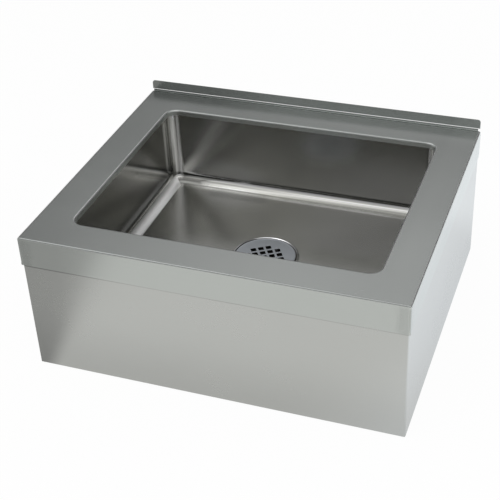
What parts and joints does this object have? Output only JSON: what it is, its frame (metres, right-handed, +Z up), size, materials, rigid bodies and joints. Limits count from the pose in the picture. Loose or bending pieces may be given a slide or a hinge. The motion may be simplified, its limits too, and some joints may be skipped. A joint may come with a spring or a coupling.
{
  "type": "mop service sink",
  "caption": "Floor-standing stainless mop sink: folded deck with rear upturn, coved bowl, wrapped skirt and a round drain whose square-holed strainer lifts out.",
  "frame": {"origin": "on the floor, in the middle of the plan", "axes": "+X to the right seen from the front, +Y to the wall, +Z up"},
  "size_m": [0.635, 0.538, 0.275],
  "materials": {
    "deck_satin": "satin, brushed across the width",
    "bowl_satin": "satin walls and floor, polished coves",
    "skirt_satin": "fine satin",
    "hidden_steel": "mill finish",
    "drain_plating": "bright plating",
    "strainer_steel": "fine matt",
    "spring_steel": "cold rolled",
    "nut_brass": "cast, machined faces",
    "rubber": "matt black",
    "fibre": "pressed fibre",
    "mastic": "matt grey mastic"
  },
  "bodies": {
    "sink": {"deck_top": "deck_satin", "bowl": "bowl_satin", "skirt": "skirt_satin", "back_panel": "hidden_steel", "corner_post_front_left": "hidden_steel", "corner_post_front_right": "hidden_steel", "corner_post_rear_left": "hidden_steel", "corner_post_rear_right": "hidden_steel", "bowl_support_left": "hidden_steel", "bowl_support_right": "hidden_steel", "sound_pad_left": "mastic", "sound_pad_right": "mastic", "drain_body": "drain_plating", "flange_seal": "rubber", "under_washer": "rubber", "friction_ring": "fibre", "drain_locknut": "nut_brass"},
    "strainer": {"strainer_plate": "strainer_steel", "strainer_leg_1": "spring_steel", "strainer_leg_2": "spring_steel", "strainer_leg_3": "spring_steel", "strainer_leg_4": "spring_steel"}
  },
  "joints": [
    {"name": "strainer_lift", "type": "slide", "parent": "sink", "child": "strainer", "axis": [0, 0, 1], "range_m": [0, 0.2]}
  ]
}
